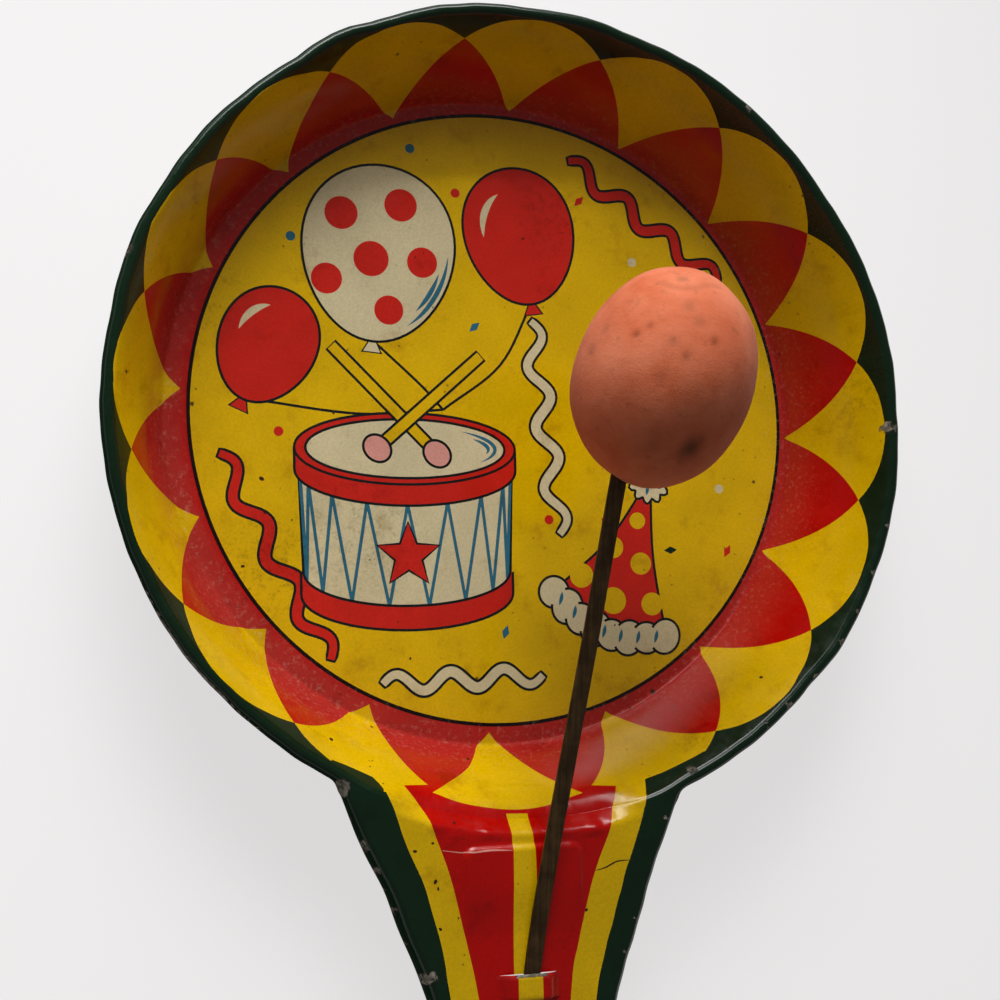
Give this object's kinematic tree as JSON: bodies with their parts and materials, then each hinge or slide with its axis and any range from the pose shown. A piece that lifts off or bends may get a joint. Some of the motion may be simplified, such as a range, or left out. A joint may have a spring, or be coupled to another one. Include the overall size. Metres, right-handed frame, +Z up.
{
  "type": "tin pan clapper",
  "caption": "Frying-pan-shaped tinplate noise maker: a lithographed pan and handle with a pulp ball on a leaf spring that claps on its floor.",
  "frame": {"origin": "middle of the underside of the pan's flat floor, on which the clapper lies", "axes": "+Z up out of the open side of the pan, towards the ball; -Y out along the handle; +X to the right"},
  "size_m": [0.1018, 0.1864, 0.0378],
  "materials": {
    "enamelled_tinplate": "gloss",
    "browned_spring_steel": "satin",
    "painted_pulp": "matte"
  },
  "bodies": {
    "pan": {"tin_pan": "enamelled_tinplate"},
    "clapper": {"leaf_spring": "browned_spring_steel", "clapper_ball": "painted_pulp"}
  },
  "joints": [
    {"name": "clapper_flex", "type": "hinge", "parent": "pan", "child": "clapper", "pos_m": [0.00061, -0.05862, 0.01499], "axis": [0.9882, -0.153, 0], "range_deg": [-14.5, 30], "stiffness_Nm_per_rad": 0.07, "springref_deg": 2.58, "deforming": ["leaf_spring"]}
  ]
}
